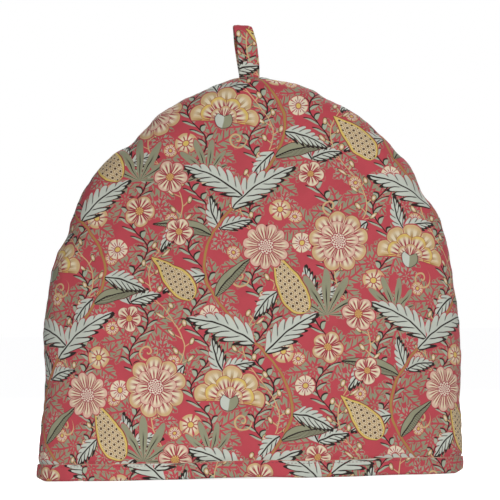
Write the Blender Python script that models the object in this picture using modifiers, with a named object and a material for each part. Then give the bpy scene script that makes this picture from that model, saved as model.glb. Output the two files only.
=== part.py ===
"""Tea cosy: two padded arch panels, a bound hem and a hanging loop, as it stands on its hem.

Metres, +Z up, the front faces -Y. The origin is on the surface it stands on, under its middle.
Every place is worked out from the driving dimensions and the two short tables below.
"""
import math

import bmesh
import bpy
from mathutils import Vector

MM = 0.001

# Driving dimensions
SEWN_GAP = 0.3 * MM          # clearance between two pieces that are sewn together
WALL = 6 * MM                # padded wall, outside face to inside face
EDGE_ROUND = 11 * MM         # radius of the soft roll beside the side and crown seam
BULGE = 62 * MM              # how far the middle of a panel stands out past that roll
BULGE_POWER = 0.9            # 1 is a plain parabola; less keeps the panel fuller near its edge
CALM_SPREAD = 18             # degrees either way over which the edge's bumps die out inwards
CALM_POWER = 4               # and how quickly they do
BINDING_CLOTH = 1.2 * MM     # folded strip that wraps the hem
BINDING_HEIGHT = 14 * MM     # the wall is upright as far up as the strip grips it
FOLD_GAP = 0.5 * MM          # clearance between the wall's bottom edge and the fold of the strip
CORNER_LIFT = 5 * MM         # the hem draws up this much at each side seam
CORNER_RUN = EDGE_ROUND      # and is flat again this far in from it
LOOP_WIDTH = 16 * MM
LOOP_CLOTH = 1.8 * MM
FOOT_SPREAD = 1.1 * MM       # each foot of the loop has its middle this far from the seam plane
SLOT_DEPTH = 7 * MM          # opening in the crown seam that takes the ends of the loop

# How finely the cloth is faceted
RAY_STEP = 2.5               # degrees between rays from the middle of the hem
ROLL_STEPS = 4               # facets across the soft roll
PANEL_STEPS = 7              # facets from the roll to the middle of the hem
LOOP_STEPS = 3               # facets between two rows of the loop's route
SOFT_ANGLE = math.radians(50)    # facets that meet flatter than this are shaded as one curve

# Outline of the arch seen from the front. From the middle of the binding's upper edge: the way to
# look (0 is the right hand side, 90 straight up, 180 the left hand side) and how far the edge is.
OUTLINE = (
    # degrees, reach in mm
    (0, 170.3), (6, 171.2), (15, 175.2), (24, 186.6), (33, 202.0), (42, 221.9), (48, 238.6),
    (54, 252.6), (57, 258.6), (60, 267.0), (66, 278.8), (75, 294.4), (81, 302.6), (87, 307.5),
    (90, 307.4), (96, 299.0), (102, 289.2), (107, 276.0), (111, 270.4), (114, 267.3),
    (120, 255.6), (129, 231.0), (132, 226.2), (138, 213.2), (147, 195.4), (156, 178.6),
    (162, 172.4), (171, 169.6), (180, 170.3),
)

# Middle line of the loop, from its front foot over the top to its back foot.
LOOP_BASE = Vector((5.4 * MM, 0.0, 321.0 * MM))    # where it leaves the crown seam
LOOP_ROUTE = (
    # rise, sideways and forward of the base in mm, and how far the fold tips clockwise in degrees
    (-6.0, 0.0, 1.1, 0.0),
    (1.0, 0.0, 1.2, 0.0),
    (8.0, 0.1, 2.6, 0.0),
    (17.0, -0.5, 4.2, 1.0),
    (27.0, -1.5, 4.6, 2.0),
    (36.0, -3.4, 3.4, 4.0),
    (40.5, -4.6, 0.0, 5.0),
    (36.0, -4.4, -3.4, 4.0),
    (27.0, -3.8, -4.6, 2.0),
    (17.0, -2.4, -4.2, 1.0),
    (8.0, -1.0, -2.6, 0.0),
    (1.0, 0.0, -1.2, 0.0),
    (-6.0, 0.0, -1.1, 0.0),
)


def spline(table, place, column):
    """Smooth curve through one column of a table whose first column rises."""
    last = len(table) - 1
    row = next(k for k in range(last) if place <= table[k + 1][0] or k == last - 1)

    def slope(k):
        before, after = table[max(k - 1, 0)], table[min(k + 1, last)]
        return (after[column] - before[column]) / (after[0] - before[0])

    span = table[row + 1][0] - table[row][0]
    t = (place - table[row][0]) / span
    start, end = table[row][column], table[row + 1][column]
    return ((2 * t**3 - 3 * t**2 + 1) * start + (t**3 - 2 * t**2 + t) * span * slope(row)
            + (3 * t**2 - 2 * t**3) * end + (t**3 - t**2) * span * slope(row + 1))


def reach(degrees):
    """Distance from the middle of the binding's upper edge to the arch's edge."""
    return spline(OUTLINE, degrees, 1) * MM


def edge_lever(degrees):
    """Distance from that middle to the edge's tangent line, which turns shares into insets."""
    step = 1.0
    low, high = max(degrees - step, 0.0), min(degrees + step, 180.0)
    turn = (reach(high) - reach(low)) / math.radians(high - low)
    return reach(degrees)**2 / math.hypot(reach(degrees), turn)


def calm_share(share, degrees):
    """Share of a ray for the bulge: the bumps of the edge fade away towards the middle."""
    fan = [min(max(degrees + CALM_SPREAD * k / 2, 0.0), 180.0) for k in range(-2, 3)]
    calm = sum(reach(d) for d in fan) / len(fan)
    return share * reach(degrees) / (calm + (reach(degrees) - calm) * share**CALM_POWER)


def ray_shares(lever):
    """Places along a ray, 0 in the middle and 1 at the seam, closer together on the soft roll."""
    roll_start = 1 - EDGE_ROUND / lever
    shares = [roll_start * k / PANEL_STEPS for k in range(PANEL_STEPS)]
    for k in range(ROLL_STEPS + 1):
        angle = math.pi / 2 * (1 - k / ROLL_STEPS)
        shares.append(1 - EDGE_ROUND * (1 - math.cos(angle)) / lever)
    return shares


def surface_depth(share, inset):
    """How far the outside stands off the seam plane."""
    roll = math.sqrt(max(0.0, 1 - (1 - min(inset / EDGE_ROUND, 1.0))**2))
    return EDGE_ROUND * roll + BULGE * max(0.0, 1 - share**2)**BULGE_POWER


def corner_lift(inset):
    """Height of the hem's underside above the surface, at a distance in from a side seam."""
    if inset >= CORNER_RUN:
        return 0.0
    return CORNER_LIFT * (1 - math.sqrt(1 - (1 - inset / CORNER_RUN)**2))


def ray_points(degrees, at_hem=False):
    """One ray of the outside, from the middle of the front over the seam to the middle of the back.

    At the hem, the same places in plan are let down to the underside of the panels.
    """
    lever = edge_lever(degrees)
    turn = math.radians(degrees)
    front = []
    for share in ray_shares(lever):
        inset = (1 - share) * lever
        along = share * reach(degrees)
        height = BINDING_HEIGHT + along * math.sin(turn)
        if at_hem:
            height = BINDING_CLOTH + FOLD_GAP + corner_lift(inset)
        depth = surface_depth(calm_share(share, degrees), inset)
        front.append(Vector((along * math.cos(turn), -depth, height)))
    back = [Vector((p.x, -p.y, p.z)) for p in reversed(front[:-1])]
    return front + back


def link_mesh(name, verts, faces, collection):
    mesh = bpy.data.meshes.new(name)
    mesh.from_pydata([tuple(v) for v in verts], [], faces)
    mesh.update()
    piece = bpy.data.objects.new(name, mesh)
    collection.objects.link(piece)
    return piece


def grid_faces(rows, columns, wrap_rows=False, wrap_columns=False):
    """Quads over a grid of points stored row by row; a wrap joins the last to the first."""
    faces = []
    for i in range(rows if wrap_rows else rows - 1):
        for j in range(columns if wrap_columns else columns - 1):
            here, above = i * columns, (i + 1) % rows * columns
            beside = (j + 1) % columns
            faces.append((here + j, here + beside, above + beside, above + j))
    return faces


def face_outwards(piece, centre):
    """Merge the points that coincide and turn the normals away from a point inside the piece."""
    bm = bmesh.new()
    bm.from_mesh(piece.data)
    bmesh.ops.remove_doubles(bm, verts=bm.verts, dist=0.01 * MM)
    bmesh.ops.recalc_face_normals(bm, faces=bm.faces)
    bm.normal_update()
    outward = sum((f.calc_center_median() - centre).dot(f.normal) * f.calc_area() for f in bm.faces)
    if outward < 0:
        bmesh.ops.reverse_faces(bm, faces=bm.faces)
    bm.to_mesh(piece.data)
    bm.free()


def thicken(piece, cloth, offset):
    """Solidify: offset -1 grows inwards from the sheet, 0 both ways."""
    shell = piece.modifiers.new("cloth", "SOLIDIFY")
    shell.thickness = cloth
    shell.offset = offset
    shell.use_even_offset = True


def finish_cloth(piece, colour):
    """Plain cotton material, shaded smooth over the soft parts."""
    material = bpy.data.materials.new(piece.name)
    material.use_nodes = True
    shader = material.node_tree.nodes["Principled BSDF"]
    shader.inputs["Base Color"].default_value = (*colour, 1.0)
    shader.inputs["Roughness"].default_value = 0.85
    shader.inputs["Metallic"].default_value = 0.0
    piece.data.materials.append(material)
    piece.data.shade_smooth()
    piece.data.set_sharp_from_angle(angle=SOFT_ANGLE)


def cutter_box(name, low, high, collection):
    """Hidden box between two corners, used to cut the padded shell."""
    bm = bmesh.new()
    bmesh.ops.create_cube(bm, size=1.0)
    size, middle = high - low, (high + low) / 2
    for v in bm.verts:
        v.co = middle + Vector((v.co.x * size.x, v.co.y * size.y, v.co.z * size.z))
    mesh = bpy.data.meshes.new(name)
    bm.to_mesh(mesh)
    bm.free()
    cutter = bpy.data.objects.new(name, mesh)
    cutter.hide_render = True
    cutter.display_type = "WIRE"
    collection.objects.link(cutter)
    return cutter


def cut(piece, cutter, operation):
    boolean = piece.modifiers.new(cutter.name, "BOOLEAN")
    boolean.operation = operation
    boolean.solver = "EXACT"
    boolean.object = cutter


def make_shell(name, collection):
    """Whole padded shell of both panels, open at the hem."""
    rows = [ray_points(0.0, at_hem=True)]
    rows += [ray_points(k * RAY_STEP) for k in range(int(180 / RAY_STEP) + 1)]
    rows += [ray_points(180.0, at_hem=True)]
    verts = [point for row in rows for point in row]
    shell = link_mesh(name, verts, grid_faces(len(rows), len(rows[0])), collection)
    face_outwards(shell, LOOP_BASE / 2)
    thicken(shell, WALL, -1)
    return shell


def make_panels(collection, cutters):
    """Front and back panel: the shell cut along the seam plane, with a slot for the loop."""
    far = 0.5
    slot_half = LOOP_WIDTH / 2 + 2 * SEWN_GAP
    slot_out = FOOT_SPREAD + LOOP_CLOTH / 2 + 1.5 * SEWN_GAP
    slot = cutter_box(
        "loop_slot",
        LOOP_BASE + Vector((-slot_half, -slot_out, -SLOT_DEPTH)),
        LOOP_BASE + Vector((slot_half, slot_out, SLOT_DEPTH)),
        cutters)
    for name, side in (("front_panel", -1), ("back_panel", 1)):
        near, outer = sorted((side * SEWN_GAP / 2, side * far))
        half = cutter_box(name + "_half", Vector((-far, near, -far)), Vector((far, outer, far)), cutters)
        panel = make_shell(name, collection)
        cut(panel, half, "INTERSECT")
        cut(panel, slot, "DIFFERENCE")
        finish_cloth(panel, (0.36, 0.17, 0.13))


def offset_point(path, index, distance):
    """A point of a closed line, moved out from it in plan by an even distance."""
    before, here, after = path[index - 1], path[index], path[(index + 1) % len(path)]
    first = Vector((here.x - before.x, here.y - before.y)).normalized()
    second = Vector((after.x - here.x, after.y - here.y)).normalized()
    outward = Vector((first.y + second.y, -(first.x + second.x))).normalized()
    stretch = distance / outward.dot(Vector((first.y, -first.x)))
    return here.x + outward.x * stretch, here.y + outward.y * stretch


def make_binding(collection):
    """Strip folded over the hem: an outer leg, an underside and an inner leg, in one closed ring."""
    right, left = ray_points(0.0, at_hem=True), ray_points(180.0, at_hem=True)
    path = right[:-1] + left[:0:-1]
    outer, inner = SEWN_GAP, -(WALL + SEWN_GAP)
    verts = []
    for index, here in enumerate(path):
        underside = here.z - BINDING_CLOTH - FOLD_GAP
        section = (
            # distance out from the wall's outside, height
            (outer, BINDING_HEIGHT), (outer, underside + BINDING_CLOTH),
            (inner, underside + BINDING_CLOTH), (inner, BINDING_HEIGHT),
            (inner - BINDING_CLOTH, BINDING_HEIGHT), (inner - BINDING_CLOTH, underside),
            (outer + BINDING_CLOTH, underside), (outer + BINDING_CLOTH, BINDING_HEIGHT),
        )
        for distance, height in section:
            verts.append(Vector((*offset_point(path, index, distance), height)))
    faces = grid_faces(len(path), len(section), wrap_rows=True, wrap_columns=True)
    binding = link_mesh("hem_binding", verts, faces, collection)
    bm = bmesh.new()
    bm.from_mesh(binding.data)
    bmesh.ops.recalc_face_normals(bm, faces=bm.faces)
    bm.to_mesh(binding.data)
    bm.free()
    finish_cloth(binding, (0.40, 0.13, 0.11))


def make_loop(collection):
    """Folded strip standing on the crown, its ends down in the seam."""
    table = [(k, *row) for k, row in enumerate(LOOP_ROUTE)]
    count = (len(table) - 1) * LOOP_STEPS
    verts = []
    for k in range(count + 1):
        rise, sideways, forward, tip = (spline(table, k / LOOP_STEPS, c) for c in (1, 2, 3, 4))
        middle = LOOP_BASE + Vector((sideways * MM, -forward * MM, rise * MM))
        across = Vector((math.cos(math.radians(tip)), 0.0, -math.sin(math.radians(tip))))
        verts.append(middle - across * LOOP_WIDTH / 2)
        verts.append(middle + across * LOOP_WIDTH / 2)
    loop = link_mesh("hanging_loop", verts, grid_faces(count + 1, 2), collection)
    thicken(loop, LOOP_CLOTH, 0)
    finish_cloth(loop, (0.36, 0.17, 0.14))


def build():
    for old in list(bpy.data.objects):
        bpy.data.objects.remove(old, do_unlink=True)
    parts = bpy.data.collections.new("tea_cosy")
    cutters = bpy.data.collections.new("cutters")
    for collection in (parts, cutters):
        bpy.context.scene.collection.children.link(collection)
    make_panels(parts, cutters)
    make_binding(parts)
    make_loop(parts)


build()
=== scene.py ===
"""Looks of the padded tea cosy that stands on its hem: cloth walls, bound hem, loop and print.

Metres, +Z up, the front faces -Y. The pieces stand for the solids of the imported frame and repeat
its driving sizes. The drawing of the print is in millimetres of flat cloth.
"""
import math
from math import pi, radians

import bmesh
import bpy
import numpy as np
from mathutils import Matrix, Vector, noise


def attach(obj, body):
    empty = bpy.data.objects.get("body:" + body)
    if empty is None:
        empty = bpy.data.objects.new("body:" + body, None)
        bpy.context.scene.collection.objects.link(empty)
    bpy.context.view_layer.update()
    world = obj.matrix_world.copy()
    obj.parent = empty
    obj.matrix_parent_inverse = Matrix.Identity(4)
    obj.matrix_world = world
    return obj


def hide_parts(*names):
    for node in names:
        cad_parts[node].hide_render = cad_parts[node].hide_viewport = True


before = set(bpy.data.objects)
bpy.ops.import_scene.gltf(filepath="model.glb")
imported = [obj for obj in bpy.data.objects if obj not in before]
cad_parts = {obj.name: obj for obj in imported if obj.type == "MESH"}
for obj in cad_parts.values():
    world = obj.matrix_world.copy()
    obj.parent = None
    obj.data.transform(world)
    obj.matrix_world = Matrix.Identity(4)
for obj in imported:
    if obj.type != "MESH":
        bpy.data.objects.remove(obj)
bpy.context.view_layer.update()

MM = 0.001

# ---- sizes that the frame is built to
SEWN_GAP = 0.3 * MM  # between two pieces that are sewn together
WALL = 6 * MM  # the padded wall's thickness
EDGE_ROUND = 11 * MM  # radius of the soft roll beside the seam
BULGE = 62 * MM  # how far a panel's middle stands past that roll
BULGE_POWER = 0.9
CALM_SPREAD = 18  # degrees either way over which the edge's bumps even out inwards
CALM_POWER = 4
BINDING_CLOTH = 1.2 * MM
BINDING_HEIGHT = 14 * MM
FOLD_GAP = 0.5 * MM  # between the wall's bottom edge and the binding's fold
LOOP_WIDTH = 16 * MM
LOOP_CLOTH = 1.8 * MM

# Outline of the arch from the front: degrees from the right round to the left, and mm to its edge
# from the middle of the binding's upper edge.
OUTLINE = (
    (0, 170.4), (6, 171.5), (15, 175.9), (20, 181.6), (24, 187.3), (33, 202.4), (42, 221.9),
    (45, 230.9), (48, 238.7), (51, 247.1), (54, 252.8), (57, 258.3), (60, 267.9), (66, 279.2),
    (71, 289), (75, 294.4), (81, 303.1), (87, 307),
    (90, 307.4), (96, 299), (102, 289.7), (104, 286.2), (107, 276.9), (111, 270.5), (114, 267.3),
    (120, 255.6), (129, 231), (132, 226.9), (135, 220.9), (138, 213.4), (147, 195.7), (156, 179.1),
    (162, 173.1), (171, 170.2), (180, 170.3),
)

# Middle line of the loop, from its front foot to its back foot.
LOOP_BASE = Vector((5.4 * MM, 0, 321 * MM))  # where it leaves the seam
LOOP_ROUTE = (
    # rise, sideways and forward of the base in mm, and tip in degrees clockwise
    (-6, 0, 1.1, 0), (1, 0, 1.2, 0), (8, 0.1, 2.6, 0), (17, -0.5, 4.2, 1), (27, -1.5, 4.6, 2),
    (36, -3.4, 3.4, 4), (40.5, -4.6, 0, 5), (36, -4.4, -3.4, 4), (27, -3.8, -4.6, 2),
    (17, -2.4, -4.2, 1), (8, -1, -2.6, 0), (1, 0, -1.2, 0), (-6, 0, -1.1, 0),
)

# ---- how the sewn cloth lies
SEAM_VALLEY = 2 * MM  # the panels turn in to meet at their seam
SEAM_VALLEY_WIDTH = 1.3 * MM
VALLEY_END = (20 * MM, 5 * MM)  # the valley ends at this height, over this run
SEAM_SLANT = 0.6 * MM  # their gap slants backwards, so that nothing shows through
PUCKER = 0.42 * MM  # gathers beside the seam
PUCKER_RUN = 11 * MM  # and how far in from it they die out
GATHERS = (  # their waves along the seam: share, pitch and phase
    (0.45, 38 * MM, 0.7), (0.50, 23 * MM, 2.1), (0.40, 13.7 * MM, 4.4), (0.22, 8.3 * MM, 1.2),
)
BROAD_SWELL = (58, 1.5, 3.7)  # swells of the padding: size, height and slice of the noise
SMALL_SWELL = (21, 0.45, 9.1)
SWELL_DEPTH = 90  # mm of depth y to one slice more of the smaller ones' noise
SWELL_FROM = 25 * MM  # they fade from this distance to the seam
SWELL_LEAST = 0.15  # to this share
SLOT_OPEN = 2.3 * MM  # the seam parts this far each way round the loop's feet
SLOT_SIDE = (9.2 * MM, 0.5 * MM)  # this far from the loop's middle, over this run
SLOT_FROM = 290 * MM  # above this height
HEM_PUFF = 1 * MM  # the wall swells above the binding
PUFF_RISE = 2.5 * MM  # from nothing at the binding's edge over this height
PUFF_FALL = 14 * MM  # and away again over this one
PUFF_FROM = 16 * MM  # fading from this distance to the side seam
HELD_TO = (14.5 * MM, 0.6 * MM)  # the binding holds it up to this height, over this run
HEM_GRIP = 0.3 * MM  # squeezing it this much
SEAM_GRIP = 1.2 * MM  # and this much more beside the side seams
SEAM_GRIP_RUN = 10 * MM
CORNER_LIFT = 2.7 * MM  # the hem draws up this much at each side seam
CORNER_RUN = 7 * MM  # over this run
CORNER_FLARE = 1.3 * MM  # on the left the binding's foot spreads this much
FLARE_RUN = 14 * MM
LIFT_FADE = 40 * MM  # the wall moves with the hem's lifts up to this height
INSIDE_SHARE = 0.3  # of the outside's unevenness, on the inside
LOWEST_WALL = BINDING_CLOTH + 0.2 * MM  # the wall's edge stays above the fold

# Where the seam pulls the cloth in.
DENTS = (
    # degrees as in the outline, depth, half width along the seam and run in from it in mm
    (13, 0.9, 6, 16), (39, 0.6, 6, 14), (55.7, 1.8, 6, 22), (63.5, 1.4, 6, 16), (77.2, 1.5, 6, 18),
    (85, 0.8, 7, 14), (109.7, 1.8, 6, 24), (128, 0.9, 6, 20), (141, 0.7, 6, 14), (155, 0.4, 6, 14),
    (166, 0.4, 5, 14),
)

# Where the hem stands a little free of the floor.
HEM_LIFTS = (
    # side (-1 front, 1 back), middle along x, half width and lift in mm
    (-1, -65, 30, 0.5), (-1, -5, 38, 1.3), (-1, 112, 20, 0.4), (1, -40, 45, 0.8), (1, 60, 40, 1.1),
)

# Soft troughs and ridges of the front.
CREASES = (
    # x, z, degrees clockwise from upright, half length, half width and depth (a ridge's is below 0)
    (-143, 188, 38, 22, 5, 1.6), (-132, 205, 30, 26, 8, -0.9), (-152, 120, 4, 60, 9, 1.3),
    (-128, 110, 10, 55, 12, -0.8), (146, 75, -6, 50, 10, 1), (120, 150, -14, 60, 14, -0.7),
    (104, 232, -38, 30, 7, 1.1), (-60, 285, 48, 24, 6, 1.2), (30, 300, -70, 22, 6, 0.9),
    (-18, 300, 62, 20, 6, 1), (-70, 40, 82, 40, 7, 0.7), (60, 34, -84, 46, 7, 0.6),
)

# ---- where the cloth was cut
CLOTH_MAP = "cloth"  # UV map that holds metres of flat cloth
BACK_CLOTH = np.array((0.083, 0.041))
BINDING_CLOTH_START = np.array((0.031, 0.118))
LOOP_CLOTH_START = np.array((0.052, 0.020))
LOOP_SIDE_SHIFT = 20 * MM  # the loop's front and back lie this far to each side of that

# ---- how finely the cloth is drawn
RAYS = 300  # facets round the fan from one side seam to the other
OPEN_STEPS = 88  # facets from the hem's middle to the soft roll
OPEN_SPREAD = 1.3  # closer together near the roll
ROLL_STEPS = 16  # facets across the soft roll
HEM_STEPS = 6  # facets down behind the binding


def spline(table, place, column):
    """Smooth curve through a column of a table, over its first one."""
    last = len(table) - 1
    row = next(k for k in range(last) if place <= table[k + 1][0] or k == last - 1)
    (x0, y0), (x1, y1), (x2, y2), (x3, y3) = (
        (table[k][0], table[k][column]) for k in (max(row - 1, 0), row, row + 1, min(row + 2, last)))
    span, rise = x2 - x1, y2 - y1
    start, end = span * (y2 - y0) / (x2 - x0), span * (y3 - y1) / (x3 - x1)
    t = (place - x1) / span
    return y1 + t * start + t**2 * (3 * rise - 2 * start - end) + t**3 * (start + end - 2 * rise)


def waves(length, table):
    """Sum of waves of (height, length of one radian, phase)."""
    return sum(height * np.sin(length / wave + phase) for height, wave, phase in table)


def hump(distance, width, power=2):
    """1 at no distance, fading to nothing past the width."""
    return np.exp(-(distance / width)**power)


def below(value, end, run):
    """1 well below the end and 0 well above it, changing over the run."""
    return 1 / (1 + np.exp((value - end) / run))


def cos_sin(degrees):
    return math.cos(radians(degrees)), math.sin(radians(degrees))


def lengths(points):
    """Length along a row of points from the first to each of them."""
    steps = np.linalg.norm(np.diff(points, axis=0), axis=1)
    return np.concatenate([[0], np.cumsum(steps)])


# ---- meshes
SAME_POINT = 0.002 * MM  # points this close are one
SHARP_FROM = 60  # degrees between two faces whose edge stays sharp


def grid_faces(rows, columns, first=0, rows_close=False, columns_close=True):
    """Quads between the neighbouring points of a grid."""
    faces = []
    for i in range(rows if rows_close else rows - 1):
        here, over = first + i * columns, first + (i + 1) % rows * columns
        for j in range(columns if columns_close else columns - 1):
            beside = (j + 1) % columns
            faces.append((here + j, here + beside, over + beside, over + j))
    return faces


def tube_faces(rows, columns, first=0):
    """Faces of a closed tube, its sides and then its two ends."""
    last = first + (rows - 1) * columns
    ends = [tuple(range(first, first + columns))[::-1], tuple(range(last, last + columns))]
    return grid_faces(rows, columns, first) + ends


def add_to_scene(name, data):
    thing = bpy.data.objects.new(name, data)
    bpy.context.scene.collection.objects.link(thing)
    return thing


def plain_mesh(name, verts, faces):
    mesh = bpy.data.meshes.new(name)
    mesh.from_pydata([tuple(v) for v in verts], [], faces)
    return add_to_scene(name, mesh)


def cloth_mesh(name, verts, faces, flat, unprinted=0):
    """Piece with its place on the flat cloth, and so many last faces of unprinted cloth."""
    piece = plain_mesh(name, verts, faces)
    mesh = piece.data
    layer = mesh.uv_layers.new(name=CLOTH_MAP)
    corners = np.empty(len(mesh.loops), dtype=np.int32)
    mesh.loops.foreach_get("vertex_index", corners)
    layer.data.foreach_set("uv", np.asarray(flat, dtype=np.float32)[corners].ravel())
    mesh.polygons.foreach_set("material_index", [0] * (len(faces) - unprinted) + [1] * unprinted)
    mesh.update()
    return piece


def finish_mesh(piece, weld=False):
    """Shades a closed piece smooth, after welding its points or turning its faces outwards."""
    bm = bmesh.new()
    bm.from_mesh(piece.data)
    if weld:
        bmesh.ops.remove_doubles(bm, verts=bm.verts, dist=SAME_POINT)
    else:
        bmesh.ops.recalc_face_normals(bm, faces=bm.faces)
        if bm.calc_volume(signed=True) < 0:
            bmesh.ops.reverse_faces(bm, faces=bm.faces)
    bm.to_mesh(piece.data)
    bm.free()
    piece.data.shade_smooth()
    piece.data.set_sharp_from_angle(angle=radians(SHARP_FROM))


# ---- cloth walls
def reach(degrees):
    """Distance from the middle of the binding's upper edge to the arch's edge."""
    return spline(OUTLINE, min(max(degrees, 0), 180), 1) * MM


def edge_lever(degrees):
    """Distance from that middle to the edge's tangent line, which turns shares into insets."""
    low, high = max(degrees - 1, 0), min(degrees + 1, 180)
    turn = (reach(high) - reach(low)) / radians(high - low)
    return reach(degrees)**2 / math.hypot(reach(degrees), turn)


def ray_shares(lever):
    """Places along a ray, 0 in the middle and 1 at the seam, closer together there."""
    roll_start = 1 - EDGE_ROUND / lever
    steps = np.arange(OPEN_STEPS) / OPEN_STEPS
    spread = roll_start * (1 - (1 - steps)**OPEN_SPREAD)
    angles = pi / 2 * (1 - np.arange(ROLL_STEPS + 1) / ROLL_STEPS)
    return np.concatenate([spread, 1 - EDGE_ROUND * (1 - np.cos(angles)) / lever])


def ray(degrees):
    """Plan places, depths and insets along one ray of the front's outside."""
    lever, far = edge_lever(degrees), reach(degrees)
    share = ray_shares(lever)
    inset = (1 - share) * lever
    calm = sum(reach(degrees + CALM_SPREAD * k / 2) for k in range(-2, 3)) / 5
    calmed = share * far / (calm + (far - calm) * share**CALM_POWER)
    roll = np.sqrt(np.maximum(0, 1 - (1 - np.minimum(inset / EDGE_ROUND, 1))**2))
    depth = EDGE_ROUND * roll + BULGE * np.maximum(0, 1 - calmed**2)**BULGE_POWER
    return share * far, depth, inset


def corner_lift(inset):
    """How far the hem is drawn up, at a distance in from a side seam."""
    return CORNER_LIFT * (1 - np.minimum(inset, CORNER_RUN) / CORNER_RUN)**1.5


def hem_lift(x, y):
    """How far the hem stands free of the floor at (x, y)."""
    return sum(lift * MM * hump(x / MM - middle, half_width, 4)
               for side, middle, half_width, lift in HEM_LIFTS if (side < 0) == (y < 0))


def seam_grip(inset):
    """How much further in the binding lies beside a side seam."""
    return SEAM_GRIP * hump(inset, SEAM_GRIP_RUN)


def panel_grid():
    """Outside of the smooth front panel, its place on the cloth and its insets from the seam.

    Its rows go up behind the binding on the right, round the fan and down on the left.
    """
    strip = [(0, k / HEM_STEPS) for k in range(HEM_STEPS)]
    fan_rows = [(180 * k / RAYS, 1) for k in range(RAYS + 1)]
    rows = []
    for degrees, share in strip + fan_rows + [(180, share) for _, share in strip[::-1]]:
        across, depth, inset = ray(degrees)
        c, s = cos_sin(degrees)
        length = lengths(np.stack([across, depth], 1))
        low = (1 - share) * (BINDING_CLOTH + FOLD_GAP + corner_lift(inset))
        high, flat_high = (low + share * (BINDING_HEIGHT + far * s) for far in (across, length))
        rows.append(np.stack([across * c, -depth, high, length * c, flat_high, inset], 1))
    grid = np.array(rows)
    return grid[:, :, :3], grid[:, :, 3:5], grid[:, :, 5]


def surface_normals(points):
    """Outward normals of a grid of points."""
    over_rows, along_rows = np.gradient(points, axis=(0, 1))
    normals = np.cross(along_rows, over_rows)
    normals[:, 0] = (0, -1, 0)
    normals[:, -1] = np.cross((0, 1, 0), over_rows[:, -1])
    return normals / np.maximum(np.linalg.norm(normals, axis=2, keepdims=True), 1e-12)


def seam_distance(points):
    """Length of cloth from each point of a row to the seam."""
    along = np.array([lengths(row) for row in points])
    return along[:, -1:] - along


def padding(points, side):
    """Slow swells of the padding."""
    (broad, broad_height, slow_slice), (small, small_height, quick_slice) = BROAD_SWELL, SMALL_SWELL
    swell = []
    for x, y, z in points.reshape(-1, 3) / MM:
        slow = noise.noise(Vector((x / broad, z / broad, slow_slice * side)))
        quick = noise.noise(Vector((x / small, z / small, quick_slice * side + y / SWELL_DEPTH)))
        swell.append(broad_height * slow + small_height * quick)
    return np.array(swell).reshape(points.shape[:2]) * MM


def creases(points):
    """Depth of the troughs and ridges."""
    x, z = points[:, :, 0] / MM, points[:, :, 2] / MM
    total = 0
    for middle_x, middle_z, turn, half_length, half_width, depth in CREASES:
        c, s = cos_sin(turn)
        dx, dz = x - middle_x, z - middle_z
        total = total + depth * hump(dx * c - dz * s, half_width) * hump(dx * s + dz * c, half_length)
    return total * MM


def dents(points, length, from_seam):
    """How far the seam pulls the cloth in."""
    way = np.degrees(np.arctan2(points[:, -1, 2] - BINDING_HEIGHT, points[:, -1, 0]))
    way[way < -90] += 360
    total = 0
    for degrees, depth, half_width, run in DENTS:
        away = hump(length - np.interp(degrees, way, length), half_width * MM)
        total = total + depth * MM * away[:, None] * hump(from_seam, run * MM, 1.5)
    return total


def hem_puff(height, from_seam):
    """Swelling of the wall just above the binding."""
    over = np.maximum(height - BINDING_HEIGHT, 0)
    free = np.clip(from_seam / PUFF_FROM, 0, 1)
    return HEM_PUFF * free * (1 - hump(over, PUFF_RISE)) * hump(over, PUFF_FALL)


def panel_layers(side):
    """Outside and inside of one side's wall, and its cloth coordinates."""
    points, cloth, insets = panel_grid()
    across, height = points[:, :, 0], points[:, :, 2]
    from_seam, length = seam_distance(points), lengths(points[:, -1])
    out = padding(points, side) * np.clip(from_seam / SWELL_FROM, SWELL_LEAST, 1)
    if side < 0:
        out -= creases(points)
    out += PUCKER * waves(2 * pi * length, GATHERS)[:, None] * hump(from_seam, PUCKER_RUN, 1)
    out -= dents(points, length, from_seam)
    valley = SEAM_VALLEY * hump(from_seam, SEAM_VALLEY_WIDTH, 1)
    out -= valley * (1 - below(height, *VALLEY_END))
    out += hem_puff(height, from_seam)
    held = below(height, *HELD_TO)
    out *= 1 - held
    grip = held * (HEM_GRIP + seam_grip(insets))
    normals = surface_normals(points)
    outside = points + normals * (out - grip)[:, :, None]
    inside = points - normals * (WALL - INSIDE_SHARE * out[:, :, None])

    near_loop = (height > SLOT_FROM) * below(np.abs(across - LOOP_BASE.x), *SLOT_SIDE)
    opening = np.maximum(SLOT_OPEN * near_loop, SEWN_GAP / 2)
    slant = SEAM_SLANT * (1 - near_loop) * hump(from_seam, WALL)
    lifted = hem_lift(across, side) * hump(height, LIFT_FADE)
    for layer, shift in ((outside, 0), (inside, slant)):
        layer[:, :, 1] = side * np.hypot(np.minimum(layer[:, :, 1], 0), opening) + shift
        layer[:, :, 2] = np.maximum(layer[:, :, 2] + lifted, LOWEST_WALL)
    return outside, inside, cloth


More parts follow.
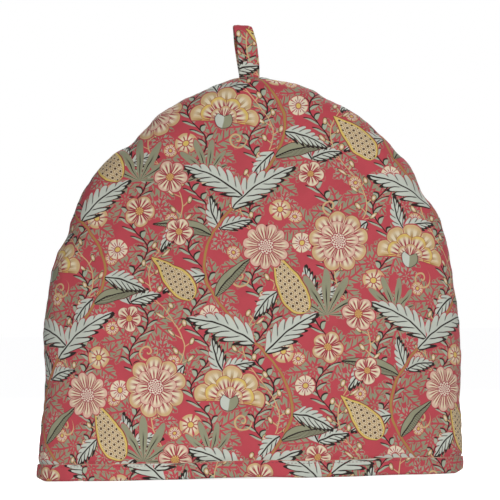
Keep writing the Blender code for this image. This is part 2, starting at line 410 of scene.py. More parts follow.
def make_panel(name, node, side):
    """Padded wall of one side: -1 front, 1 back."""
    outside, inside, cloth = panel_layers(side)
    rows, columns = outside.shape[:2]
    verts = np.concatenate([outside.reshape(-1, 3), inside.reshape(-1, 3)])
    flat = np.concatenate([cloth.reshape(-1, 2)] * 2)
    flat[:, 0] *= -side
    if side > 0:
        flat += BACK_CLOTH
    lining = rows * columns
    faces = grid_faces(rows, columns, columns_close=False)
    inner = [(a, d, c, b) for a, b, c, d in grid_faces(rows, columns, lining, columns_close=False)]
    for i in range(rows - 1):
        here, over = (i + 1) * columns - 1, (i + 2) * columns - 1
        faces.append((here, lining + here, lining + over, over))
    for row, order in ((0, 1), (rows - 1, -1)):
        for here in range(row * columns, (row + 1) * columns - 1):
            inner.append((here, lining + here, lining + here + 1, here + 1)[::order])
    if side > 0:
        faces, inner = ([face[::-1] for face in some] for some in (faces, inner))
    panel = cloth_mesh(name, verts, faces + inner, flat, len(inner))
    finish_mesh(panel, weld=True)
    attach(panel, "root")
    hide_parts(node)
    return panel


# ---- binding and its stitches
OUTER_FACE = SEWN_GAP + BINDING_CLOTH  # its faces, outwards from the smooth wall
INNER_FACE = -(WALL + SEWN_GAP + BINDING_CLOTH)
BINDING_FOLD = 2.1 * MM  # radius of the fold at the hem, outside
FOLD_INSIDE = 0.25 * MM  # the inside of the fold lies this much further up
BINDING_TOP = BINDING_HEIGHT - 0.35 * MM  # its upper edge, on average
TOP_WAVES = ((0.21 * MM, 41 * MM, 0.6), (0.14 * MM, 17 * MM, 2))
BINDING_BELLY = 0.25 * MM  # the outer leg stands out this much half way down
EDGE_FROM = (0.5 * MM, 0.7 * MM)  # a leg's upper edge is rounded from this far down, out and inside
EDGE_POINTS = ((0.35 * MM, 0), (1 * MM, 0.1 * MM))  # over these points, inwards and down
JOIN_X = -132.5 * MM  # where the ends of its strip overlap, on the front
JOIN_STEP = 0.8 * MM  # the upper end stands out this much
JOIN_RISE = 0.3 * MM  # and up this much, the lower one down
JOIN_SINK = 0.5 * MM  # and the lower one's foot is drawn up this much
JOIN_RUN = 9 * MM  # fading out over this length
JOIN_STEP_SHARE = 0.06  # of the last facet is the step itself
RIPPLES = ((0.16 * MM, 1.9 * MM, 0), (0.2 * MM, 7.1 * MM, 0))  # waves of its outer face
RIPPLE_FULL = 6 * MM  # full from this height, fading towards the fold
STITCH_LINE = 2.2 * MM  # the stitches run this far below the upper edge
STITCH_GROOVE = 0.28 * MM  # in a groove this deep
GROOVE_WIDTH = 0.8 * MM
STITCH_PITCH = 3.1 * MM
STITCH_LENGTH = 2.3 * MM
STITCH_SINK = 0.1 * MM  # below the binding's face
STITCH_LIFT = 0.15  # of the corners' lift, which they follow
THREAD = 0.42 * MM  # thickness of the sewing thread
THREAD_BOW = (-0.3, 0.55)  # where its ends lie and how far its middle rises, in thicknesses
THREAD_END = 0.5  # share of its thickness at the ends
THREAD_RINGS, THREAD_SIDES = 7, 6


def hem_path():
    """Outside of the smooth wall at the hem, once round from the join of the strip.

    Gives the lengths of strip and rows of x, y, inset from the side seam, and outward x and y.
    """
    right, left = (np.stack(ray(degrees), 1) for degrees in (0, 180))
    front = np.concatenate([right[::-1], left[1:] * (-1, 1, 1)]) * (1, -1, 1)
    path = np.concatenate([front, front[::-1][1:-1] * (1, -1, 1)])
    tangent = (np.roll(path, -1, axis=0) - np.roll(path, 1, axis=0))[:, :2]
    tangent /= np.linalg.norm(tangent, axis=1, keepdims=True)
    path = np.concatenate([path, tangent[:, ::-1] * (-1, 1)], axis=1)
    path = np.roll(path, -np.argmin(np.abs(front[:, 0] - JOIN_X)), axis=0)
    path = np.concatenate([path, path[:1]])
    path[-1, :2] += (path[-2, :2] - path[-1, :2]) * JOIN_STEP_SHARE
    return lengths(path[:, :2]), path


def binding_section(top):
    """Outline across the folded strip: (distance out from the wall, height), outer leg first."""
    outer_end, inner_end = top - EDGE_FROM[0], top - EDGE_FROM[1]
    share = np.linspace(0, 1, 9)
    height = outer_end - (outer_end - BINDING_FOLD) * share
    groove = STITCH_GROOVE * hump(top - STITCH_LINE - height, GROOVE_WIDTH)
    section = [*zip(OUTER_FACE - groove + BINDING_BELLY * np.sin(pi * share), height)]
    quarter = np.linspace(0, pi / 2, 7)[1:]
    inwards, height = BINDING_FOLD * (1 - np.cos(quarter)), BINDING_FOLD * (1 - np.sin(quarter))
    section += [*zip(OUTER_FACE - inwards, height), *zip(INNER_FACE + inwards[::-1], height[::-1])]
    section += [(INNER_FACE, height) for height in np.linspace(BINDING_FOLD, outer_end, 7)]
    inside = np.linspace(inner_end, BINDING_CLOTH + FOLD_INSIDE, 5)
    section += [(INNER_FACE + x, top - y) for x, y in EDGE_POINTS]
    section += [(INNER_FACE + BINDING_CLOTH, height) for height in inside]
    section += [(OUTER_FACE - BINDING_CLOTH, height) for height in inside[::-1]]
    section += [(OUTER_FACE - x, top - y) for x, y in EDGE_POINTS[::-1]]
    return np.array(section)


def make_binding():
    length, path = hem_path()
    verts, flat = [], []
    for here, (x, y, inset, out_x, out_y) in zip(length, path):
        over, under = hump(length[-1] - here, JOIN_RUN), hump(here, JOIN_RUN)
        section = binding_section(BINDING_TOP + waves(here, TOP_WAVES) + JOIN_RISE * (over - under))
        ripple, lifted = waves(here, RIPPLES), hem_lift(x, y)
        flare = CORNER_FLARE * hump(inset, FLARE_RUN) * (x < 0)
        for (out, height), run in zip(section, lengths(section)):
            share = max(1 - height / BINDING_HEIGHT, 0)
            high = height + (corner_lift(inset) + JOIN_SINK * under) * share + lifted
            grip = seam_grip(inset) * (out - INNER_FACE) / (OUTER_FACE - INNER_FACE)
            if out > 0:
                out += ripple * min(height / RIPPLE_FULL, 1) + JOIN_STEP * over
            out += flare * share - grip
            verts.append((x + out_x * out, y + out_y * out, high))
            flat.append((here, -run))
    faces = grid_faces(len(path), len(section), rows_close=True)
    binding = cloth_mesh("binding", verts, faces, np.array(flat) + BINDING_CLOTH_START)
    finish_mesh(binding)
    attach(binding, "root")
    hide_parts("hem_binding")
    return binding


def stitch_points(middle, out):
    """Points of one short thread that dips into the cloth at both ends."""
    points = []
    sunk, rise = THREAD_BOW
    along, up = Vector((-out.y, out.x, 0)), Vector((0, 0, 1))
    for share in np.linspace(0, 1, THREAD_RINGS):
        arch = math.sin(pi * share)
        place = middle + along * STITCH_LENGTH * (share - 0.5) + out * THREAD * (sunk + rise * arch)
        thick = THREAD / 2 * (THREAD_END + (1 - THREAD_END) * arch)
        for turn in np.arange(THREAD_SIDES) * 2 * pi / THREAD_SIDES:
            points.append(place + (up * math.cos(turn) + out * math.sin(turn)) * thick)
    return points


def make_hem_stitches():
    length, path = hem_path()
    whole = length[-1]
    count = round(whole / STITCH_PITCH)
    verts, faces = [], []
    for k in range(count):
        here = whole * (k + 0.5) / count
        x, y, inset, out_x, out_y = (np.interp(here, length, column) for column in path.T)
        out = Vector((out_x, out_y, 0)).normalized()
        height = BINDING_TOP + waves(here, TOP_WAVES) - STITCH_LINE + corner_lift(inset) * STITCH_LIFT
        middle = Vector((x, y, height + hem_lift(x, y)))
        surface = OUTER_FACE - STITCH_SINK + waves(here, RIPPLES) - seam_grip(inset)
        surface += JOIN_STEP * hump(whole - here, JOIN_RUN)
        for distance, way in ((surface, 1), (INNER_FACE, -1)):
            faces += tube_faces(THREAD_RINGS, THREAD_SIDES, len(verts))
            verts += stitch_points(middle + out * distance, out * way)
    stitches = plain_mesh("hem_stitches", verts, faces)
    finish_mesh(stitches)
    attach(stitches, "root")
    return stitches


# ---- loop
LOOP_STEPS = 10  # facets between two rows of its route
LOOP_ACROSS = 24  # facets across its width
LOOP_FOOT = 9 * MM  # the seam holds it flat over this run
LOOP_SWELL = 0.12 * MM  # further up its faces swell and sink this much
LOOP_SWELL_WAVE = 4.3 * MM  # in waves of this length to a radian
LOOP_SWELL_SLANT = 5  # which slant by so many radians to a side
LOOP_WANDER = (0.03, 11 * MM)  # its width varies by this share, in waves of this length
LOOP_SAG = 0.9 * MM  # its sides sag this much over the top
LOOP_SAG_RUN = 1.1  # within so many rows of its route
LOOP_EDGE = 0.07  # share of the half width that is rounded
LOOP_EDGE_LEFT = 0.25  # share of the thickness that is left there
LOOP_LEAST = 0.1  # and least share anywhere
LOOP_GROOVES = ((-0.68, 0.07, 0.30), (0.80, 0.06, 0.22))  # of its stitching: shares across, and deep


def loop_section():
    """Outline across the loop: (share of the half width, distance from the cloth's middle)."""
    section = []
    for way in (1, -1):
        for k in range(LOOP_ACROSS + 1):
            share = way * (1 - 2 * k / LOOP_ACROSS)
            past = max(0, (abs(share) - 1 + LOOP_EDGE) / LOOP_EDGE)
            rounding = math.sqrt(max(0, 1 - past**2))
            groove = sum(depth * hump(share - place, width) for place, width, depth in LOOP_GROOVES)
            thick = LOOP_EDGE_LEFT + (1 - LOOP_EDGE_LEFT) * rounding - groove
            section.append((share, way * LOOP_CLOTH / 2 * max(thick, LOOP_LEAST)))
    return section


def make_loop():
    """Folded and edge-stitched strip that stands on the crown."""
    table = [(k, *row) for k, row in enumerate(LOOP_ROUTE)]
    count = (len(table) - 1) * LOOP_STEPS
    middles, tips = [], []
    for k in range(count + 1):
        rise, sideways, forward, tip = (spline(table, k / LOOP_STEPS, c) for c in (1, 2, 3, 4))
        middles.append(LOOP_BASE + Vector((sideways, -forward, rise)) * MM)
        tips.append(radians(tip))
    wander, wander_wave = LOOP_WANDER
    section = loop_section()
    verts, flat = [], []
    for k, (middle, run) in enumerate(zip(middles, lengths(np.array(middles)))):
        way = middles[min(k + 1, count)] - middles[max(k - 1, 0)]
        across = Vector((math.cos(tips[k]), 0, -math.sin(tips[k])))
        out = across.cross(way).normalized()
        free = 1 - hump(run, LOOP_FOOT)
        half_width = LOOP_WIDTH / 2 * (1 + wander * math.sin(run / wander_wave))
        sag = LOOP_SAG * hump(k - count / 2, LOOP_SAG_RUN * LOOP_STEPS)
        for place, thick in section:
            swell = LOOP_SWELL * free * math.sin(run / LOOP_SWELL_WAVE + place * LOOP_SWELL_SLANT)
            point = middle + across * place * half_width + out * (thick + math.copysign(1, thick) * swell)
            verts.append(point - Vector((0, 0, sag * place**4)))
            flat.append((place * LOOP_WIDTH / 2 + math.copysign(LOOP_SIDE_SHIFT, thick), run))
    faces = tube_faces(count + 1, len(section))
    loop = cloth_mesh("loop", verts, faces, np.array(flat) + LOOP_CLOTH_START)
    finish_mesh(loop)
    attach(loop, "root")
    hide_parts("hanging_loop")
    return loop


# ---- arithmetic inside a material
def operation(name):
    """Function that adds one math node to its numbers' material."""
    def function(*values):
        tree = next(value.tree for value in values if isinstance(value, Num))
        node = tree.nodes.new("ShaderNodeMath")
        node.operation = name
        for value, target in zip(values, node.inputs):
            plug(value, target)
        return Num(node.outputs[0])
    return function


class Num:
    """Number inside a material: a node's output that takes part in ordinary arithmetic."""

    __add__, __sub__, __mul__, __pow__ = map(operation, ("ADD", "SUBTRACT", "MULTIPLY", "POWER"))

    def __init__(self, socket):
        self.socket, self.tree = socket, socket.id_data

    def __rsub__(self, other):
        return times_plus(self, -1, other)


sin, cos, floor, fract, root, size = map(
    operation, ("SINE", "COSINE", "FLOOR", "FRACT", "SQRT", "ABSOLUTE"))
least, most, above, angle_of, times_plus = map(
    operation, ("MINIMUM", "MAXIMUM", "GREATER_THAN", "ARCTAN2", "MULTIPLY_ADD"))


def plug(source, target):
    """Links a number or an output to an input, or sets the input to a plain value."""
    if isinstance(source, Num):
        source = source.socket
    if isinstance(source, bpy.types.NodeSocket):
        target.id_data.links.new(source, target)
    else:
        target.default_value = source


def scaled(value, factor, offset=0):
    return times_plus(value, factor, offset)


def ramp(value, low, high, first=0, last=1):
    """Smooth change from first to last while the value goes from low to high."""
    node = value.tree.nodes.new("ShaderNodeMapRange")
    node.interpolation_type = "SMOOTHSTEP"
    node.clamp = False
    for number, target in zip((value, low, high, first, last), node.inputs):
        plug(number, target)
    return Num(node.outputs[0])


def mixed(amount, under, over):
    """Colour under with an amount of the colour over it."""
    node = amount.tree.nodes.new("ShaderNodeMix")
    node.data_type = "RGBA"
    for value, index in ((amount, 0), (under, 6), (over, 7)):
        plug(value, node.inputs[index])
    return node.outputs[2]


def colour(hex_code):
    parts = [int(hex_code[i:i + 2], 16) / 255 for i in (0, 2, 4)]
    return (*((p / 12.92) if p <= 0.04045 else ((p + 0.055) / 1.055)**2.4 for p in parts), 1)


# ---- drawing of the print, in mm
REPEAT = (150, 230)  # across and up; every other column drops by half
HALF_REPEAT = (75, 115)  # of smaller motifs
SMALL_REPEAT = (50, 57.5)  # and of the leaves that fill the ground
STEM_SWING = 34  # of the main stem to each side
SOFT = 0.30  # half width of the change at a shape's edge
SHAPE_END = -9  # what a leaf's half width falls to past its ends
HATCH = 2.3  # between two strokes
STREAKS = 3  # in each petal
SCALE = (4.2, 4.4)  # width and height of a scale of the seed heads

GROUND, ROSE, BROWN, INK = map(colour, ("BD4751", "A23A45", "5C4028", "261B18"))
OLIVE, OLIVE_PALE, SAGE_SHADY, SAGE = map(colour, ("949479", "A0A48C", "A9B19B", "C8CDC1"))
GOLD_DARK, GOLD, YELLOW = map(colour, ("AA8349", "D0B07F", "DBBD66"))
CREAM, PALE, BLUSH = map(colour, ("E4D5B6", "E6D8C4", "DDB7A2"))


def on_motif(u, v, repeat, x0, y0, turn=0, flip=1):
    """Coordinates of a motif at (x0, y0) of every repeat, whose own y runs up along it."""
    wide, high = repeat
    column = scaled(u, 1 / wide, 0.5 - x0 / wide)
    row = scaled(v, 1 / high, 0.5 - y0 / high)
    x, y = centred(column, wide), centred(scaled(floor(column), -0.5, row), high)
    if not turn and flip == 1:
        return x, y
    c, s = cos_sin(turn)
    return scaled(x, c * flip, y * (s * flip)), scaled(y, c, x * -s)


def centred(steps, pitch):
    """Distance from the middle of the step that is reached in a row of them."""
    return scaled(fract(steps), pitch, -pitch / 2)


def from_middle(x, y):
    return root(scaled(x, x, y * y))


def polar(x, y):
    """Distance from a motif's middle and the way round it, from its x towards its y."""
    return from_middle(x, y), angle_of(y, x)


def swung(x, y, swing, high):
    """Distance sideways from a stem that winds once to each side in its height."""
    return x - sin(scaled(y, 2 * pi / high)) * swing


def curled(x, y, long, bend):
    """Place on a motif whose tip is bent sideways: x, its size and the share of the length."""
    along = scaled(y, 1 / long)
    x = scaled(along * along, -bend, x)
    return x, size(x), along


def edge(shape, inset=0):
    """1 inside the line that lies inset mm inside the shape's edge, 0 outside it."""
    return ramp(shape, inset - SOFT, inset + SOFT)


def paint(base, shape, fill, halo=0, outline=0, line=INK):
    """Fills a shape, with an outline and a rim of bare ground round it."""
    if halo:
        base = mixed(edge(shape, -halo), base, GROUND)
    if outline:
        base = mixed(edge(shape, -outline), base, line)
    return mixed(edge(shape), base, fill)


def leaf_width(along, wide, fullest=0.75):
    """Half-width of a leaf along its length, well below nothing beyond its ends."""
    swell = sin(scaled(least(most(along, 0), 1)**fullest, pi))
    return scaled(ramp(size(scaled(along, 2, -1)), 0.96, 1.04), SHAPE_END, swell * wide)


def lobed(along, across, lobe, wide, fullest, deep, rest):
    """Leaf whose edge comes and goes by lobes: a share is deep, the rest is always there."""
    swell = root(sin(scaled(lobe, pi)))
    return scaled(leaf_width(along, wide, fullest), scaled(swell, deep, rest), across * -1)


def sage_leaf(base, x, y, long, wide, bend, lobes):
    """Feathery pale leaf: slanting lobes, inked along its shaded side and between the lobes."""
    x, across, along = curled(x, y, long, bend)
    sided = ramp(x, -0.3, 0.3)
    lobe = fract(scaled(sided, 0.5, scaled(along, lobes, across * (-lobes * 1.2 / long))))
    shape = lobed(along, across, lobe, wide, 0.8, 0.66, 0.34)
    gap = size(scaled(lobe, 1, -0.93)) * (long / lobes)
    inked = ramp(gap, 1.1, 0.55) * scaled(sided, 0.2, 0.8) * ramp(across, wide * 0.12, wide * 0.3)
    tone = mixed(inked, SAGE, INK)
    tone = mixed(ramp(size(scaled(x, 1, -0.35)), 0.84, 0.44), tone, INK)
    base = mixed(edge(shape, -0.9), base, GROUND)
    base = paint(base, scaled(sided, 2.2, shape), INK)
    return paint(base, shape, tone)


def oak_leaves(base, x, y, count, phase, long, wide, bend, lobes, fill):
    """Round-lobed leaves about one foot, cut up by fine veins of bare ground."""
    distance, turn = polar(y, x)
    turn = centred(scaled(turn, count / (2 * pi), phase), 2 * pi / count)
    x, across, along = curled(distance * sin(turn), distance * cos(turn), long, bend)
    lobe = fract(scaled(along, lobes, across * (-lobes * 0.8 / long)))
    shape = lobed(along, across, lobe, wide, 0.95, 0.60, 0.42)
    veins = size(scaled(lobe, long / lobes, -0.5 * long / lobes))
    veins = ramp(least(veins, scaled(across, 0.9)), 0.92, 0.58) * ramp(shape, 0.1, 0.6)
    return paint(base, shape, mixed(veins, fill, GROUND), halo=0.5)


def blade(base, x, y, long, wide, bend):
    """Smooth curved leaf with an inked vein, one half hatched."""
    x, across, along = curled(x, y, long, bend)
    shape = leaf_width(along, wide) - across
    hatch = size(centred(scaled(y, 1 / HATCH, across * (-1.6 / HATCH)), HATCH))
    tone = mixed(ramp(hatch, 0.50, 0.22) * ramp(x, 0.2, 0.7), OLIVE, INK)
    tone = mixed(ramp(across, 0.74, 0.38), tone, INK)
    return paint(base, shape, tone, halo=0.7, outline=0.5)


def rounds_of_petals(base, distance, turn, rounds, within=None):
    """Petals with streaks, rosy edges and gaps, from the outermost round inwards.

    A round is (radius, petals, notch, phase, inner colour, outer colour).
    """
    halo = 1
    for radius, petals, notch, phase, inner, outer in rounds:
        wave = size(cos(scaled(turn, petals / 2, phase)))
        shape = scaled(root(wave), radius * notch, radius * (1 - notch)) - distance
        if within:
            shape = least(shape, within)
        tone = mixed(ramp(shape, radius * 0.20, radius * 0.05), CREAM, outer)
        streak = ramp(cos(scaled(turn, petals * STREAKS, phase * 2 * STREAKS)), -0.15, 0.4)
        tone = mixed(streak * ramp(distance, radius * 0.98, radius * 0.6), tone, inner)
        tone = mixed(ramp(wave * distance, 1.7, 1), tone, ROSE)
        base = paint(base, shape, tone, halo=halo, outline=0.4, line=ROSE)
        halo = 0
    return base


def flower(base, x, y, radius, fill, *rounds):
    """Open flower with a round, dotted middle of its own radius and fill."""
    distance, turn = polar(x, y)
    base = rounds_of_petals(base, distance, turn, rounds)
    grain = cos(scaled(turn, 10)) * cos(scaled(distance, 2.4))
    tone = mixed(ramp(grain, -0.1, 0.25), fill, ROSE)
    return paint(base, radius - distance, tone, outline=0.5, line=ROSE)


def fan(base, x, y, *rounds):
    """Half-open flower seen from its side, over a small cup."""
    distance, turn = polar(y, x)
    open_side = scaled(size(turn), -1, 1.65) * distance
    base = rounds_of_petals(base, distance, turn, rounds, open_side)
    radius = rounds[0][0]
    cup = least(radius * 0.25 - distance, radius * 0.08 - y + size(x) * 0.5)
    return paint(base, cup, mixed(ramp(x, -0.5, 0.5), SAGE, OLIVE), outline=0.5)


def daisy(base, x, y, radius, petals, fill, rim, halo):
    """Small flower with separate petals."""
    distance, turn = polar(x, y)
    wave = size(sin(scaled(turn, petals / 2)))
    shape = least(radius - distance, scaled(wave, 1, -0.30) * distance)
    tone = mixed(ramp(distance, radius * 0.55, radius * 0.9), fill, rim)
    veins = ramp(wave, 0.94, 0.985) * ramp(distance, radius * 0.8, radius * 0.6)
    base = paint(base, shape, mixed(veins, tone, ROSE), halo=halo)
    return paint(base, radius * 0.24 - distance, YELLOW, outline=0.7, line=ROSE)


def cone(base, x, y, long, wide, bend):
    """Scaly seed head: a long drop covered with dark-eyed scales."""
    x, across, along = curled(x, y, long, bend)
    shape = leaf_width(along, wide, 0.62) - across
    scale_wide, scale_high = SCALE
    row = scaled(y, 1 / scale_high)
    shift = fract(scaled(floor(row), 0.5))
    eye = from_middle(centred(scaled(x, 1 / scale_wide, shift), scale_wide), centred(row, scale_high))
    tone = mixed(ramp(size(eye - 2), 0.55, 0.2) * 0.8, CREAM, GOLD_DARK)
    tone = mixed(ramp(eye, 1.3, 0.85), tone, BROWN)
    tone = mixed(ramp(shape, 2.2, 1.2), tone, YELLOW)
    return paint(base, shape, tone, halo=1, outline=0.55, line=BROWN)


def tuft(base, x, y, radius):
    """Tuft of pointed leaves that spread from one foot."""
    distance, turn = polar(y, x)
    wave = size(cos(scaled(turn, 6)))
    tips = scaled(cos(turn * 0.8), radius * 0.6, radius * 0.4) * wave
    shape = least(scaled(distance, -0.45, tips * 0.45), scaled(size(turn), -20, 36))
    veins = ramp(wave, 0.975, 0.99) * ramp(distance, radius * 0.7, radius * 0.4)
    return paint(base, shape, mixed(veins, OLIVE, INK), halo=0.6)


def sprig(base, x, y, swing, high, count, long, wide, slope, fill):
    """Winding stem with slanting leaves by turns, inked on their shaded sides."""
    x, pitch = swung(x, y, swing, high), high / count
    side = size(x)
    lean = scaled(side, slope, side * side * -0.02)
    across = centred(scaled(y - lean, 1 / pitch, above(x, 0) * 0.5), pitch)
    swell = sin(scaled(least(scaled(side, 1 / long), 1)**0.7, pi))
    shape = scaled(swell, wide, -0.25) - size(across)
    shaded = scaled(swell, wide, 0.30) - size(scaled(across, 1, -0.6))
    shaded = least(shaded, scaled(swell, 9, -1.5))
    stalk = 0.6 - side
    base = mixed(edge(most(shaded, stalk), -0.7), base, GROUND)
    base = paint(paint(base, shaded, INK), shape, fill)
    return paint(base, stalk, INK)


def berry_row(base, x, y, swing, high, count, out, radius, stalk):
    """Thin winding stem with berries on stalks by turns."""
    x, pitch = swung(x, y, swing, high), high / count
    side = size(x)
    steps = scaled(scaled(side, -0.7, y), 1 / pitch, above(x, 0) * 0.5)
    across = centred(steps, pitch)
    distance = from_middle(side - out, across)
    stalks = least(stalk - size(across), out - side)
    base = paint(base, most(stalk - side, stalks), GOLD)
    tone = mixed(ramp(distance, radius * 0.35, radius * 0.65), PALE, GOLD)
    return paint(base, radius - distance, tone, outline=0.45)


def tendril(base, x, y, pitch, radius, weight):
    distance, turn = polar(x, y)
    arm = scaled(distance, 1 / pitch, scaled(turn, -1 / (2 * pi)))
    gap = size(centred(arm, pitch))
    return paint(base, least(weight - gap, radius - distance), GOLD)


def stem(base, x, y, swing, high, half_width):
    """Bare winding stem."""
    return paint(base, half_width - size(swung(x, y, swing, high)), GOLD_DARK, halo=0.8)


def on_stem(y, *turned):
    """Foot of a motif that grows from the main stem at a height."""
    return STEM_SWING * math.sin(2 * pi * y / REPEAT[1]), y, *turned


# The layers of the print, the lowest first. A motif is its drawing, its foot with the degrees that
# it is turned to the left and -1 where it is mirrored, and its drawing's values.
PRINT = (
    (SMALL_REPEAT, (
        (oak_leaves, (2, 0), 6, 0.2, 23, 6.4, 3, 4, OLIVE),
        (oak_leaves, (25, 12), 5, 0.6, 23.5, 7, -3, 4, OLIVE),
        (oak_leaves, (-19, 19), 5, 0.4, 12, 4.2, 2, 3, OLIVE_PALE),
        (sprig, (12, 0), 8, SMALL_REPEAT[1], 7, 8.5, 1.75, 0.8, SAGE_SHADY),
        (daisy, (-10, 9), 5.2, 7, PALE, GOLD, 0.8),
    )),
    (HALF_REPEAT, (
        (berry_row, (10, 20), 14, HALF_REPEAT[1], 8, 7, 2.1, 0.45),
        (sage_leaf, (-20, -30, 35), 28, 6.6, 9, 5),
        (sage_leaf, (-20, -28, -60), 25, 6.2, 8, 5),
        (sage_leaf, (24, 34, 120, -1), 27, 6.4, 9, 5),
        (tendril, (-6, 46, 20), 6, 8.5, 0.7),
        (daisy, (28, -14), 9, 5, CREAM, GOLD, 0.9),
        (daisy, (-30, 16), 8, 8, PALE, CREAM, 0.9),
    )),
    (REPEAT, (
        (tuft, (64, -100), 38),
        (tuft, (-30, 18, 20), 30),
        (stem, (0, 0), STEM_SWING, REPEAT[1], 1.05),
        (blade, on_stem(30, -62), 46, 5.5, 14),
        (blade, on_stem(-34, 60, -1), 48, 5.5, 14),
        (blade, on_stem(-84, -30), 44, 5, 12),
        (sage_leaf, on_stem(-12, -40), 60, 11, 18, 7),
        (sage_leaf, on_stem(-2, 44, -1), 54, 10.5, 16, 7),
        (sage_leaf, on_stem(100, -38), 52, 10.5, 15, 7),
        (sage_leaf, on_stem(108, 52, -1), 58, 11, 17, 7),
        (sage_leaf, on_stem(52, -95), 36, 7.5, 11, 7),
        (sage_leaf, on_stem(-66, 92, -1), 36, 7.5, 11, 7),
        (cone, (48, -98, 38), 58, 11.5, 12),
        (cone, (-44, -86, 30, -1), 48, 10.5, 10),
        (flower, (75, -40, 12), 6.5, PALE,
         (24.5, 9, 0.24, 0, ROSE, GOLD), (16.5, 8, 0.28, 0.6, ROSE, BLUSH)),
        (flower, (16, -44, 5), 6, PALE, (18.5, 11, 0.26, 0, ROSE, BLUSH)),
        (fan, (-16, 62, -8), (28.5, 9, 0.22, 0, GOLD_DARK, GOLD),
         (20.52, 8, 0.22, pi / 2, ROSE, YELLOW), (11.97, 7, 0.22, 0, ROSE, GOLD)),
        (flower, (-60, 16), 3.24, YELLOW, (13.5, 6, 0.34, 0.4, ROSE, BLUSH)),
        (flower, (64, 104), 3.12, YELLOW, (13, 5, 0.34, 0.4, ROSE, GOLD)),
        (flower, (-54, -30), 2.64, YELLOW, (11, 5, 0.34, 0.4, ROSE, CREAM)),
        (flower, (54, 16), 2.52, YELLOW, (10.5, 5, 0.34, 0.4, ROSE, CREAM)),
    )),
)


def printed_cotton(u, v):
    """Colour of the printed cloth at (u, v) mm of flat cloth."""
    base = GROUND
    for repeat, motifs in PRINT:
        for draw, foot, *values in motifs:
            base = draw(base, *on_motif(u, v, repeat, *foot), *values)
    return base


# ---- cloth materials
WAVER = 0.7  # mm, how far the print's lines waver
WAVER_SIZE = 0.014  # metres of cloth to a wave of them
THREAD_PITCH = 0.42  # mm between two threads
WEAVE_DEPTH = 0.15 * MM
WEAVE_PAINTED_SHADE = (0.90, 1.04)  # painted shade between the threads and painted highlight on them, as the print's brightness there
WEAR_SIZE = 55  # slightly faded patches, so many to a metre
WEAR = (0.95, 1.04)  # and their brightness
PLAIN_PAINTED_SHADE = 0.86  # painted shade: brightness of unprinted cloth between its threads
THREAD_TWIST = 2200  # scale of the light and dark bands painted for the shading of the sewing thread's twist


def new_material(name, **values):
    """Material, its tree and its shader, whose inputs are named here with underscores."""
    material = bpy.data.materials.new(name)
    material.use_nodes = True
    shader = material.node_tree.nodes["Principled BSDF"]
    for key, value in values.items():
        shader.inputs[key.replace("_", " ")].default_value = value
    return material, material.node_tree, shader


def texture(tree, kind, vector, **values):
    node = tree.nodes.new(kind)
    for key, value in values.items():
        node.inputs[key].default_value = value
    plug(vector, node.inputs["Vector"])
    return node


def on_cloth(tree):
    """Place on the flat cloth: the UV map's socket, and its two numbers in mm."""
    where = tree.nodes.new("ShaderNodeUVMap")
    where.uv_map = CLOTH_MAP
    split = tree.nodes.new("ShaderNodeSeparateXYZ")
    plug(where.outputs["UV"], split.inputs[0])
    return where.outputs["UV"], *(scaled(Num(split.outputs[axis]), 1 / MM) for axis in "XY")


def wavering(tree, where, u, v):
    """The same place moved a little, so that the print's lines waver as if drawn by hand."""
    random = texture(tree, "ShaderNodeTexNoise", where, Scale=1 / WAVER_SIZE, Detail=1)
    split = tree.nodes.new("ShaderNodeSeparateColor")
    plug(random.outputs["Color"], split.inputs[0])
    return (scaled(Num(split.outputs[k]), 4 * WAVER, value - 2 * WAVER) for k, value in enumerate((u, v)))


def weave_height(u, v):
    """Height of a plain weave, whose threads pass over each other by turns: 0 low to 1 high."""
    step = pi / THREAD_PITCH
    warp, weft = size(sin(scaled(u, step))), size(sin(scaled(v, step)))
    turns = sin(scaled(u, step, pi / 2)) * sin(scaled(v, step, pi / 2))
    over = ramp(turns, -0.25, 0.25)
    return warp * over + weft * (1 - over)


def add_weave_bump(tree, shader, height, strength):
    bump = tree.nodes.new("ShaderNodeBump")
    bump.inputs["Strength"].default_value = strength
    bump.inputs["Distance"].default_value = WEAVE_DEPTH
    plug(height, bump.inputs["Height"])
    plug(bump.outputs["Normal"], shader.inputs["Normal"])


def printed_material():
    """Printed cotton: the print, painted shade and light on the weave's threads, slight fading, a soft
    sheen.
    """
    material, tree, shader = new_material(
        "printed_cotton", Roughness=0.82, Specular_IOR_Level=0.28, Sheen_Weight=0.10, Sheen_Roughness=0.5)
    where, u, v = on_cloth(tree)
    print_colour = printed_cotton(*wavering(tree, where, u, v))
    weave = weave_height(u, v)
    mottle = texture(tree, "ShaderNodeTexNoise", where, Scale=WEAR_SIZE, Detail=3)
    wear = ramp(Num(mottle.outputs["Fac"]), 0.3, 0.7, *WEAR)
    painted_shade_and_wear = tree.nodes.new("ShaderNodeVectorMath")
    painted_shade_and_wear.operation = "SCALE"
    plug(print_colour, painted_shade_and_wear.inputs[0])
    # painted shade between the threads and painted highlight on them, times the faded patches
    plug(ramp(weave, 0, 1, *WEAVE_PAINTED_SHADE) * wear, painted_shade_and_wear.inputs["Scale"])
    plug(painted_shade_and_wear.outputs[0], shader.inputs["Base Color"])
    add_weave_bump(tree, shader, weave, strength=0.25)
    return material


def plain_material(name, shade, roughness):
    """Unprinted cotton: one colour with its weave, and painted shade between its threads."""
    material, tree, shader = new_material(name, Roughness=roughness, Specular_IOR_Level=0.25)
    _, u, v = on_cloth(tree)
    weave = weave_height(u, v)
    # painted shade: the cloth's colour darkened where the weave is low
    low = tuple(c * PLAIN_PAINTED_SHADE for c in shade[:3]) + (1,)
    plug(mixed(weave, low, shade), shader.inputs["Base Color"])
    add_weave_bump(tree, shader, weave, strength=0.3)
    return material


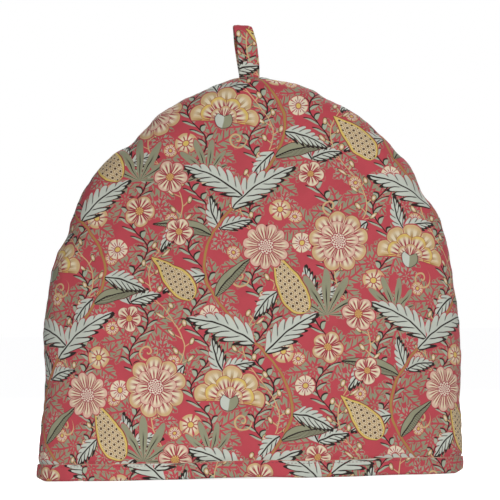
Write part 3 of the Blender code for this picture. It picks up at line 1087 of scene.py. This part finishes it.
def thread_material():
    material, tree, shader = new_material("sewing_thread", Roughness=0.6)
    place_on_piece = tree.nodes.new("ShaderNodeTexCoord").outputs["Object"]
    # painted shade: diagonal light and dark bands that stand for light and shade on the thread's twisted
    # plies
    painted_twist_shade = texture(tree, "ShaderNodeTexWave", place_on_piece, Scale=THREAD_TWIST)
    painted_twist_shade.bands_direction = "DIAGONAL"
    shade = mixed(Num(painted_twist_shade.outputs["Fac"]), colour("6E2A33"), colour("93404A"))
    plug(shade, shader.inputs["Base Color"])
    return material


# ---- floor, light and camera
VIEW_WIDTH = 401 * MM  # what the picture spans at the seam plane
VIEW_MIDDLE = (3.2 * MM, 182 * MM)  # across and height of the picture's middle there
VIEW_DISTANCE = 8
VIEW_ROLL = 1.15  # degrees, the left hand side lower
SENSOR = 36
COSY_MIDDLE = (0, 0, 0.16)
SOFT_BOXES = (
    # name, place, aim, size, watts and degrees of its cone
    ("key", (0.85, -2.8, 0.30), COSY_MIDDLE, (1.4, 1.2), 68.5, 180),
    ("fill", (-0.5, -2.6, 0.1), COSY_MIDDLE, (1.4, 0.6), 12, 180),
    ("low", (-0.6, -1.1, 0.06), (-0.14, -0.05, 0.03), (0.1, 0.1), 0.022, 16),
    ("top", (0.2, 0, 2.6), COSY_MIDDLE, (2.6, 2.6), 1, 180),
    ("back", (0.3, 2.2, 2.4), COSY_MIDDLE, (2, 1.4), 78, 180),
)
ROOM_LIGHT = (0.20, 0.20, 0.205, 1)
WHITE = (1, 1, 1, 1)
FLOOR_RADIUS = 14


def make_camera():
    camera = add_to_scene("camera", bpy.data.cameras.new("camera"))
    camera.data.sensor_width = SENSOR
    camera.data.lens = SENSOR * VIEW_DISTANCE / VIEW_WIDTH
    camera.data.clip_start = 0.1
    camera.data.clip_end = 100
    across, middle = VIEW_MIDDLE
    camera.location = (across, -VIEW_DISTANCE, middle)
    camera.rotation_euler = (pi / 2, radians(VIEW_ROLL), 0)
    bpy.context.scene.camera = camera


def make_floor():
    """Wide plain floor that shines a little, to stay pale."""
    mesh = bpy.data.meshes.new("floor")
    bm = bmesh.new()
    bmesh.ops.create_circle(bm, cap_ends=True, radius=FLOOR_RADIUS, segments=96)
    bm.to_mesh(mesh)
    bm.free()
    floor_piece = add_to_scene("floor", mesh)
    material, *_ = new_material(
        "floor", Base_Color=(0.93, 0.93, 0.93, 1), Roughness=0.9, Specular_IOR_Level=0,
        Emission_Color=WHITE, Emission_Strength=0.8)
    mesh.materials.append(material)
    floor_piece.visible_diffuse = False


def make_lights():
    """Soft boxes, and a room that is dim but looks white."""
    for name, stand, aim, box, power, beam in SOFT_BOXES:
        light = bpy.data.lights.new(name, "AREA")
        light.shape = "RECTANGLE"
        light.size, light.size_y = box
        light.energy = power
        light.spread = radians(beam)
        lamp = add_to_scene(name, light)
        lamp.location = stand
        lamp.rotation_euler = (Vector(aim) - Vector(stand)).to_track_quat("-Z", "Y").to_euler()
    world = bpy.data.worlds.new("studio")
    world.use_nodes = True
    bpy.context.scene.world = world
    tree = world.node_tree
    seen = Num(tree.nodes.new("ShaderNodeLightPath").outputs["Is Camera Ray"])
    plug(mixed(seen, ROOM_LIGHT, WHITE), tree.nodes["Background"].inputs["Color"])


# ---- the cosy
def build():
    printed = printed_material()
    plain = plain_material("plain_cotton", colour("D8CDB8"), 0.9)
    for name, node, side in (("front_wall", "front_panel", -1), ("back_wall", "back_panel", 1)):
        panel = make_panel(name, node, side)
        panel.data.materials.append(printed)
        panel.data.materials.append(plain)
    binding = make_binding()
    binding.data.materials.append(printed)
    stitches = make_hem_stitches()
    stitches.data.materials.append(thread_material())
    loop = make_loop()
    loop.data.materials.append(printed)
    make_floor()
    make_lights()
    make_camera()
    bpy.context.scene.view_settings.view_transform = "Standard"


build()
